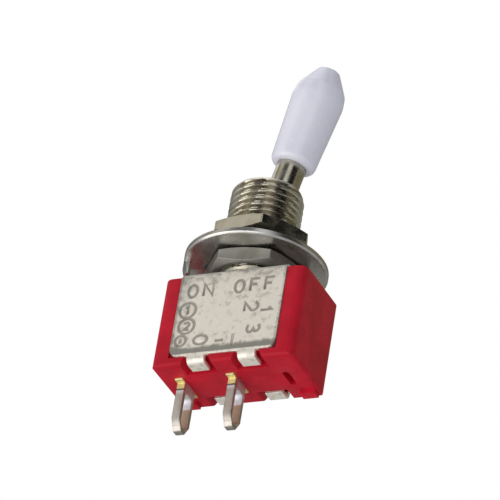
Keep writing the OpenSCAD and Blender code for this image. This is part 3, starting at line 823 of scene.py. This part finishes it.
@dataclass
class Bushing:
    """The threaded bushing: a rolled 40-to-the-inch thread with a keyway down one side."""

    finishes: Finishes
    pitch: float = 0.635
    depth: float = 0.36
    neck: float = 0.35
    lead: float = 0.5
    key_width: float = 0.8
    key_depth: float = 0.45
    rim_bevel: float = 0.25
    mouth: float = 2.6
    lip: Triple = (0.06, 0.02, 0.08)
    throat: float = 1.74
    throat_up: float = 1.3
    ball_up: float = 0.9
    ball_down: float = 1.7
    spigot: float = 2.75
    spigot_bore: float = 2.5
    stake: float = 0.15
    ball_gap: float = 0.09
    pin_gap: float = 0.05
    columns: int = 144
    rows_per_turn: int = 12

    def wall(self, height: np.ndarray, turn: np.ndarray, radius: float, top: float) -> np.ndarray:
        """Radius of the threaded wall.

        A thread's depth follows a rounded wave of the height plus the share of a turn. It fades in
        over the lead at both ends, and the keyway caps the wall at a flat across the axis.

        Args:
            height: heights, in millimetres.
            turn: angles, in radians.
            radius: the crest's radius.
            top: height of the bushing's rim.

        Returns:
            The radii, one for each height and angle.
        """
        phase = height / self.pitch - turn / (2 * math.pi)
        saw = np.abs((phase % 1.0) * 2 - 1)
        wave = np.clip((saw - 0.12) / 0.76, 0, 1)
        root = self.depth * (1 - wave * wave * (3 - 2 * wave))
        fade_low = np.clip((height - self.neck) / self.lead, 0, 1)
        crest = radius - self.rim_bevel * np.clip(1 - (top - height) / self.lead, 0, 1)
        crest = crest - self.depth * 0.7 * (1 - fade_low)
        wall = np.minimum(crest, radius - root)
        flat = (radius - self.key_depth) / np.maximum(-np.cos(turn), 0.05)
        in_key = (np.cos(turn) < 0) & (np.abs(wall * np.sin(turn)) < self.key_width / 2)
        return np.where(in_key, np.minimum(wall, flat), wall)

    def build(self) -> None:
        """Makes the bushing: threaded outside, plain neck and spigot, flared bore with slots for the pin."""
        low, high = (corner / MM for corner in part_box("bushing"))
        pin_low, pin_high = (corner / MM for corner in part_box("pivot_pin"))
        radius, top, bottom = high.y, high.z, low.z
        key_edge = math.pi - math.asin(self.key_width / 2 / radius)
        turn = np.linspace(-math.pi, math.pi, self.columns, endpoint=False)
        edges = np.array([key_edge - 0.004, key_edge + 0.004, -key_edge - 0.004, -key_edge + 0.004])
        turn = np.sort(np.concatenate([turn, edges]))
        rows = int((top - self.neck) / self.pitch * self.rows_per_turn)
        height = np.linspace(self.neck, top, rows)[:, None]
        outer = self.wall(height, turn[None, :], radius, top)
        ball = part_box("lever")[1].y / MM + self.ball_gap
        pivot = (pin_low.z + pin_high.z) / 2
        root = radius - self.depth
        outside = [
            (self.spigot + self.stake, bottom), (self.spigot, bottom + self.stake), (self.spigot, 0.0),
            (root, 0.0), (root, self.neck),
        ]
        wider, narrower, deep = self.lip
        inside = [
            (self.mouth + wider, top), (self.mouth - narrower, top - deep),
            (self.throat, pivot + self.throat_up), (ball, pivot + self.ball_up),
            (ball, pivot - self.ball_down), (self.spigot_bore, bottom),
        ]
        sides = [np.array(side) for side in (outside, inside)]
        lower, bore = (around(side[:, :1], turn, side[:, 1:]) for side in sides)
        points = np.concatenate([lower, around(outer, turn, height), bore]) * MM
        mesh = grid_mesh("threaded_bushing", points, close_u=True, close_v=True)
        weld(mesh)
        piece = link("threaded_bushing", mesh, self.finishes.thread)
        half_x, half_y = pin_high.x + self.pin_gap, pin_high.y + self.pin_gap
        slots = prism("pin_slots", rectangle(half_x, half_y) * MM, (bottom - 0.1) * MM, (pivot + half_x) * MM)
        combine(piece, "DIFFERENCE", link("pin_slots", slots, self.finishes.thread))
        merge(piece.data, False)
        smooth(piece.data, 38.0)
        adopt(piece, "bushing", Body.SWITCH)


def leaning() -> Matrix:
    """The lever's lean about its cross pin, read from the plunger's slide axis."""
    slide = next(j for j in frame["joints"] if j["name"] == "plunger_press")
    hinge = next(j for j in frame["joints"] if j["name"] == "lever_throw")
    tilt = math.atan2(slide["axis"][0], slide["axis"][2])
    return Matrix.Translation(Vector(hinge["pos_m"])) @ Matrix.Rotation(tilt, 4, "Y")


@dataclass
class LeverAssembly:
    """The lever, its cross pin and the glossy sleeve over its end."""

    finishes: Finishes
    steps: int = 96
    cap_low: float = 8.3
    cap_top: float = 18.085
    foot: float = 1.985
    big: float = 2.315
    big_down: float = 3.0
    shoulder: float = 2.15
    shoulder_down: float = 2.0
    rim: float = 1.0
    bends: Tuple[Tuple[float, int], ...] = ((0.55, 9), (2.6, 12), (1.0, 12), (0.25, 8))
    bore: float = 1.31
    bore_top: float = 15.51

    def profile(self) -> np.ndarray:
        """The sleeve's outline: a slow swell to its thickest place, then a rounded cone to a flat tip."""
        corners = np.array([
            (self.bore, self.cap_low), (self.foot, self.cap_low), (self.big, self.cap_top - self.big_down),
            (self.shoulder, self.cap_top - self.shoulder_down), (self.rim, self.cap_top), (0.0, self.cap_top),
        ])
        rounded = [rounded_corner(*corners[k : k + 3], *bend) for k, bend in enumerate(self.bends)]
        inside = [corners[-1], (0.0, self.bore_top), (self.bore, self.bore_top), corners[0]]
        return np.concatenate([corners[:1], *rounded, inside]) * MM

    def build(self) -> None:
        """Makes the sleeve and paints the lever and its pin."""
        mesh = revolve("sleeve", self.profile(), self.steps)
        mesh.transform(leaning())
        smooth(mesh, 40.0)
        adopt(link("lever_sleeve", mesh, self.finishes.sleeve), "lever_cap", Body.LEVER)
        lever = softened("lever", "turned_lever", self.finishes.nickel, 0.05)
        adopt(lever, "lever", Body.LEVER)
        paint("pivot_pin", self.finishes.spring)


@dataclass
class Terminals:
    """The two blades, with softened edges."""

    finishes: Finishes
    edge_mm: float = 0.07

    def build(self) -> None:
        """Makes both blades and paints the fixed contact."""
        for node, name in (("common_terminal", "common_blade"), ("end_terminal", "end_blade")):
            piece = softened(node, name, self.finishes.lug, self.edge_mm)
            adopt(piece, node, Body.SWITCH)
        paint("end_contact", self.finishes.contact)


def shell_of_rows(name: str, rows: Sequence[Tuple[Spread, Spread]], turn: np.ndarray) -> bpy.types.Mesh:
    """Closes a row of rings into one shell.

    Args:
        name: the mesh's name.
        rows: for each ring its radius and its height at every angle, in millimetres, in order up the
            outside, over the top, down the bore and back along the bottom. The last joins the first.
        turn: the angles, in radians.

    Returns:
        The mesh. A point of a ring is (r cos t, r sin t, h).
    """
    points = np.array([around(r, turn, h) for r, h in rows])
    mesh = grid_mesh(name, points * MM, close_u=True, close_v=True)
    weld(mesh)
    return mesh


@dataclass
class Hardware:
    """The nuts, the locking ring and the toothed washer."""

    finishes: Finishes
    bore: float = 3.215
    lead: float = 0.25
    flats: float = 7.94
    corner_round: float = 0.14
    bevel: float = 0.3
    bevel_in: float = 0.2
    ring_edge: float = 0.15
    ring_sheet: float = 0.5
    tab_turn: float = 200.0
    tab_width: float = 1.3
    tab_fold: float = 0.3
    tongue_width: float = 0.7
    tongue_in: float = 2.775
    washer_rim: float = 0.75
    washer_sheet: float = 0.5
    teeth: int = 10
    tooth_width: float = 0.9
    tooth_in: float = 3.235

    def hexagon(self, turned: float) -> Tuple[np.ndarray, np.ndarray]:
        """Outline of a nut.

        Away from a corner the radius is half the width across flats over the cosine of the angle from
        the flat's middle. Near a corner it is the far side of a small circle that touches both flats.

        Args:
            turned: the nut's turn, in degrees.

        Returns:
            The angles, in radians, and the radius at each.
        """
        half, small, sixth = self.flats / 2, self.corner_round, math.radians(30)
        centre = (half - small) / math.cos(sixth)
        touch = sixth - math.atan((half - small) * math.tan(sixth) / half)
        side = np.concatenate([np.linspace(0, touch, 5), np.linspace(touch, sixth, 7)[1:]])
        off = np.concatenate([-side[:0:-1], side[:-1]])
        near = np.sqrt(np.maximum(small**2 - (centre * np.sin(off)) ** 2, 0)) + centre * np.cos(off)
        radius = np.where(np.abs(off) < touch, near, half / np.cos(sixth - np.abs(off)))
        corners = math.radians(turned) + np.arange(6) * math.radians(60)
        return (corners[:, None] + off[None, :]).ravel(), np.tile(radius, 6)

    def nut(self, node: str, name: str, turned: float, finish: bpy.types.Material) -> None:
        """Makes a nut: bevelled corners above and below, and a bore with a lead-in at each end."""
        low, high = (end.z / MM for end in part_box(node))
        turn, radius = self.hexagon(turned)
        face, corner = self.flats / 2 - self.bevel_in, self.flats / 2 / math.cos(math.radians(30))
        drop = self.bevel * np.maximum(radius - face, 0) / (corner - face)
        rim = np.minimum(radius, face)
        rows = [
            (radius, low + drop), (radius, high - drop), (rim, high),
            (self.bore + self.lead, high), (self.bore, high - self.lead),
            (self.bore, low + self.lead), (self.bore + self.lead, low), (rim, low),
        ]
        piece = link(name, shell_of_rows(name, rows, turn), finish)
        adopt(soften(piece, 0.03, angle=25.0, sharp=9.0), node, Body.SWITCH)

    def steps(self, edges: Sequence[float], count: int) -> np.ndarray:
        """Angles round the axis, with a close pair at each of the given edges, in radians."""
        even = np.linspace(-math.pi, math.pi, count, endpoint=False)
        pairs = [edge + gap for edge in edges for gap in (-0.0015, 0.0015)]
        wrapped = (np.array(pairs) + math.pi) % (2 * math.pi) - math.pi
        return np.unique(np.round(np.concatenate([even, wrapped]), 6))

    def ring(self) -> None:
        """Makes the flat ring, its tab bent down at the rim and its tongue in the keyway."""
        corner_low, corner_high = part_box("locking_ring")
        outer, top, foot = corner_high.x / MM, corner_high.z / MM, corner_low.z / MM
        low = top - self.ring_sheet
        tab_at, tab_half = math.radians(self.tab_turn), math.asin(self.tab_width / 2 / outer)
        tongue_half = math.asin(self.tongue_width / 2 / self.tongue_in)
        edges = [tab_at - tab_half, tab_at + tab_half, math.pi - tongue_half, math.pi + tongue_half]
        turn = self.steps(edges, 144)
        away = lambda middle: np.abs((turn - middle + math.pi) % (2 * math.pi) - math.pi)
        tab, tongue = away(tab_at) < tab_half, away(math.pi) < tongue_half
        pick = lambda inside, outside: np.where(tab, inside, outside)
        inner = np.where(tongue, self.tongue_in, self.bore)
        step = outer - self.ring_sheet
        rows = [
            (inner, low), (step, low), (pick(step, outer - 2 * self.ring_edge), pick(foot, low)),
            (outer - pick(self.tab_fold, self.ring_edge), pick(foot, low)),
            (outer, pick(foot + self.tab_fold, low + self.ring_edge)), (outer, top), (inner, top),
        ]
        piece = link("ring_with_tab", shell_of_rows("ring_with_tab", rows, turn), self.finishes.washer)
        adopt(soften(piece, 0.05, angle=30.0, sharp=30.0), "locking_ring", Body.SWITCH)

    def washer(self) -> None:
        """Makes the washer, whose teeth rise and fall across their width as they point inwards."""
        corner_low, corner_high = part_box("lock_washer")
        outer, middle = corner_high.x / MM, (corner_low.z + corner_high.z) / 2 / MM
        low, high = middle - self.washer_sheet / 2, middle + self.washer_sheet / 2
        rise = (corner_high.z - corner_low.z) / 2 / MM - self.washer_sheet / 2
        root = outer - self.washer_rim
        half = math.asin(self.tooth_width / 2 / root)
        centres = (np.arange(self.teeth) + 0.5) * 2 * math.pi / self.teeth
        turn = self.steps(np.concatenate([centres - half, centres + half]), 240)
        off = turn % (2 * math.pi / self.teeth) - math.pi / self.teeth
        tooth = np.abs(off) < half
        lift = np.where(tooth, rise * off / half, 0)
        tip = np.where(tooth, self.tooth_in, root - 0.02)
        rows = [(outer, low), (outer, high), (root, high), (tip, high + lift), (tip, low + lift), (root, low)]
        piece = link("toothed_washer", shell_of_rows("toothed_washer", rows, turn), self.finishes.washer)
        adopt(soften(piece, 0.04, angle=40.0, sharp=30.0), "lock_washer", Body.SWITCH)

    def build(self) -> None:
        """Makes every piece of the hardware."""
        self.nut("lower_nut", "hex_nut_lower", 11.0, self.finishes.dull_nickel)
        self.nut("top_nut", "hex_nut_top", -4.0, self.finishes.nickel)
        self.ring()
        self.washer()


@dataclass
class Mechanism:
    """The sealed inner pieces: a coil spring and painted solids."""

    finishes: Finishes
    wire: float = 0.09
    turns: float = 6.0
    travel: float = 0.5
    rings: int = 192
    sides: int = 12

    def coil(self, low: float, high: float, radius: float) -> bpy.types.Mesh:
        """Winds the wire about Z, with its last turns closed up and its ends capped.

        At share t of the wire its middle stands at the radius, at an angle of t times the turns, and at a
        height that eases from low to high. Round the wire, angle a adds w cos a outwards and w sin a down.

        Args:
            low: height of the lowest wire's middle, in metres.
            high: height of the highest wire's middle.
            radius: radius of the wire's middle.

        Returns:
            The mesh, in the lever's own frame.
        """
        t = np.linspace(0, 1, self.rings)[:, None]
        rise = np.interp(t, [0, 0.13, 0.87, 1], [0, 0.05, 0.95, 1])
        a = np.linspace(0, 2 * math.pi, self.sides, endpoint=False)[None, :]
        wire = self.wire * MM
        size = np.concatenate([[[0.0]], np.full((self.rings, 1), wire), [[0.0]]])
        t, rise = (np.concatenate([v[:1], v, v[-1:]]) for v in (t, rise))
        turn = 2 * math.pi * self.turns * t
        out = radius + size * np.cos(a)
        height = low + (high - low) * rise - size * np.sin(a)
        mesh = grid_mesh("coil_spring", around(out, turn, height), close_u=True)
        weld(mesh)
        return mesh

    def build(self) -> None:
        """Makes the spring and paints the rest."""
        lean = leaning()
        back = np.array(lean.inverted())
        local = points_of(frame["nodes"]["plunger_spring"].data) @ back[:3, :3].T + back[:3, 3]
        wire = self.wire * MM
        low, high = local[:, 2].min() + wire, local[:, 2].max() - wire
        mesh = self.coil(low, high, float(np.hypot(local[:, 0], local[:, 1]).max()) - wire)
        mesh.transform(lean)
        smooth(mesh, 60.0)
        piece = link("coil_spring", mesh, self.finishes.spring)
        adopt(piece, "plunger_spring", Body.LEVER)
        anchor = lean @ Vector((0, 0, high + wire))
        keep = 1 - self.travel * MM / (high - low + 2 * wire)
        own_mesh(piece)
        paint("plunger", self.finishes.nylon)
        paint("rocker", self.finishes.copper)
        for node in ("rocker_contact_live", "rocker_contact_idle"):
            paint(node, self.finishes.contact)


# ---- studio


@dataclass
class Studio:
    """The camera, the lamps, the pale floor, the white surroundings and sheets of painted reflection."""

    aim: Triple = (0, 0, -0.4)
    right: Triple = (0.9042, 0.4030, 0.1418)
    back: Triple = (0.4147, -0.7479, -0.5183)
    off_right: float = -0.172
    off_up: float = 3.768
    distance: float = 0.4
    lens: float = 339.6
    lamp_distance: float = 0.6
    floor_drop: float = 0.5
    floor_half: float = 4.0
    reflection_distance: float = 0.45
    reflection_grid: Tuple[int, int] = (12, 24)
    sky: float = 0.53

    def camera(self) -> None:
        """Puts the camera low in front, looking up, with the frame leaning a little."""
        back, right = Vector(self.back).normalized(), Vector(self.right)
        right = (right - back * right.dot(back)).normalized()
        up = back.cross(right)
        target = Vector(self.aim) * MM + (right * self.off_right + up * self.off_up) * MM
        turn = Matrix((right, up, back)).transposed().to_4x4()
        data = bpy.data.cameras.new("camera")
        data.lens, data.sensor_width = self.lens, 36.0
        data.clip_start, data.clip_end = 0.02, 20.0
        made = bpy.data.objects.new("camera", data)
        made.matrix_world = Matrix.Translation(target + back * self.distance) @ turn
        bpy.context.scene.collection.objects.link(made)
        bpy.context.scene.camera = made

    def lamp(self, name: str, way: Vector, size: float, power: float, tint: Colour) -> None:
        """Adds a square soft lamp.

        Args:
            name: the lamp's name.
            way: direction from the switch to the lamp.
            size: its side, in metres.
            power: its power, in watts.
            tint: its colour.
        """
        data = bpy.data.lights.new(name, "AREA")
        data.size, data.energy, data.color = size, power, tint
        made = bpy.data.objects.new(name, data)
        way = way.normalized()
        aimed = way.to_track_quat("Z", "Y").to_matrix().to_4x4()
        made.matrix_world = Matrix.Translation(way * self.lamp_distance) @ aimed
        made.visible_camera = False
        bpy.context.scene.collection.objects.link(made)

    def floor(self) -> None:
        """Lays a wide pale floor well below the switch."""
        corners = rectangle(self.floor_half, self.floor_half)
        mesh = bpy.data.meshes.new("floor")
        mesh.from_pydata(np.column_stack([corners, np.full(4, -self.floor_drop)]), [], [(0, 1, 2, 3)])
        g = Graph("pale_floor")
        tone = g.noise(6.0, 2.0).ramp(0.3, 0.7)
        base = g.mix(tone, (0.86, 0.86, 0.86), (0.9, 0.9, 0.9))
        lit = g.node("ShaderNodeBsdfPrincipled", inputs={"Base Color": base, "Roughness": 0.8})
        white = g.node("ShaderNodeEmission", inputs={"Color": (1.0, 1.0, 1.0, 1.0), "Strength": 1.17})
        seen = g.node("ShaderNodeLightPath", output="Is Camera Ray") * 0.72
        shader = g.node("ShaderNodeMixShader", inputs={0: seen, 1: lit, 2: white})
        link("floor", mesh, g.surface(shader))

    def reflection_card(self, name: str, azimuth: Point, elevation: Point, shade: Colour, soft: float) -> None:
        """Hangs a curved sheet of painted reflection: it glows in its shade, shows only in reflections and
        casts no light or shadow.

        The sheet is a piece of a sphere about the switch. A point at azimuth a and elevation e lies at
        (cos a cos e, sin a cos e, sin e) times the sheet's distance. It fades out towards its sides.

        Args:
            name: the sheet's name.
            azimuth: its first and last azimuth from +X, in degrees.
            elevation: its lowest and highest elevation, in degrees.
            shade: its brightness and tint.
            soft: width of the fade, in degrees.
        """
        rows, columns = self.reflection_grid
        along, up = np.meshgrid(np.linspace(*azimuth, columns), np.linspace(*elevation, rows))
        a, e = np.radians(along), np.radians(up)
        mesh = grid_mesh(name, around(np.cos(e), a, np.sin(e)) * self.reflection_distance, close_u=False)
        sides = (along - azimuth[0], azimuth[1] - along, up - elevation[0], elevation[1] - up)
        inside = np.minimum.reduce(sides)
        fade = mesh.attributes.new("inside", "FLOAT", "POINT")
        fade.data.foreach_set("value", (inside / soft).ravel().astype(np.float32))
        g = Graph(name)
        cover = g.node("ShaderNodeAttribute", {"attribute_name": "inside"}, output="Fac").ramp(0.0, 1.0)
        glow = g.node("ShaderNodeEmission", inputs={"Color": (*shade, 1.0), "Strength": 1.0})
        clear = g.node("ShaderNodeBsdfTransparent")
        shader = g.node("ShaderNodeMixShader", inputs={0: cover, 1: clear, 2: glow})
        made = link(name, mesh, g.surface(shader))
        made.visible_camera = made.visible_diffuse = made.visible_shadow = made.visible_transmission = False

    def world(self) -> None:
        """White surroundings for the camera and for reflections, and a dimmer soft sky as light."""
        g = Graph("studio", world=True)
        rays = (f"Is {kind} Ray" for kind in ("Camera", "Glossy", "Transmission"))
        camera, glossy, through = (g.node("ShaderNodeLightPath", output=ray) for ray in rays)
        sky, white = (
            g.node("ShaderNodeBackground", inputs={"Color": colour, "Strength": strength})
            for colour, strength in (((0.93, 0.96, 1.0, 1), self.sky), ((1, 1, 1, 1), 1.0))
        )
        seen = camera.most(glossy).most(through)
        shader = g.node("ShaderNodeMixShader", inputs={0: seen, 1: sky, 2: white})
        bpy.context.scene.world = g.surface(shader)

    def build(self) -> None:
        """Sets up the whole studio."""
        self.camera()
        self.world()
        self.floor()
        for name, way, size, power, tint in (
            ("key", (-0.40, -0.54, -0.74), 0.75, 3.5, (1.0, 0.99, 0.97)),
            ("glint", (0.16, -0.72, -0.68), 0.2, 0.3, (1.0, 0.99, 0.96)),
            ("top", (-0.3, -0.2, 1.0), 0.4, 0.38, (1.0, 1.0, 1.0)),
        ):
            self.lamp(name, Vector(way), size, power, tint)
        # Sheets of painted reflection, dark and pale, each seen only in the metal.
        for name, azimuth, elevation, shade, soft in (
            ("reflection_dark", (-95.0, -70.0), (-2.0, 66.0), (0.015, 0.015, 0.02), 5.0),
            ("reflection_black", (-46.0, 10.0), (-24.0, 80.0), (0.005, 0.005, 0.006), 6.0),
            ("reflection_right", (6.0, 104.0), (-10.0, 70.0), (0.25, 0.235, 0.16), 6.0),
            ("reflection_back", (100.0, 184.0), (-8.0, 42.0), (0.2, 0.19, 0.16), 6.0),
            ("reflection_low", (60.0, 170.0), (-56.0, -12.0), (0.3, 0.3, 0.28), 6.0),
            ("reflection_left", (-180.0, -144.0), (-8.0, 70.0), (0.36, 0.34, 0.3), 6.0),
            ("reflection_warm", (-150.0, -117.0), (-4.0, 70.0), (0.74, 0.7, 0.62), 6.0),
            ("reflection_front", (-120.0, -88.0), (-4.0, 70.0), (0.17, 0.17, 0.175), 6.0),
        ):
            self.reflection_card(name, azimuth, elevation, shade, soft)


def main() -> None:
    """Builds the sub-assemblies in order, then the studio."""
    logging.basicConfig(level=logging.INFO, format="%(message)s")
    bpy.context.scene.view_settings.view_transform = "Standard"
    finishes = Finishes()
    for assembly in (Case, Bracket, Bushing, LeverAssembly, Terminals, Hardware, Mechanism):
        log.info("building %s", assembly.__name__)
        assembly(finishes).build()
    Studio().build()


if __name__ == "__main__":
    main()
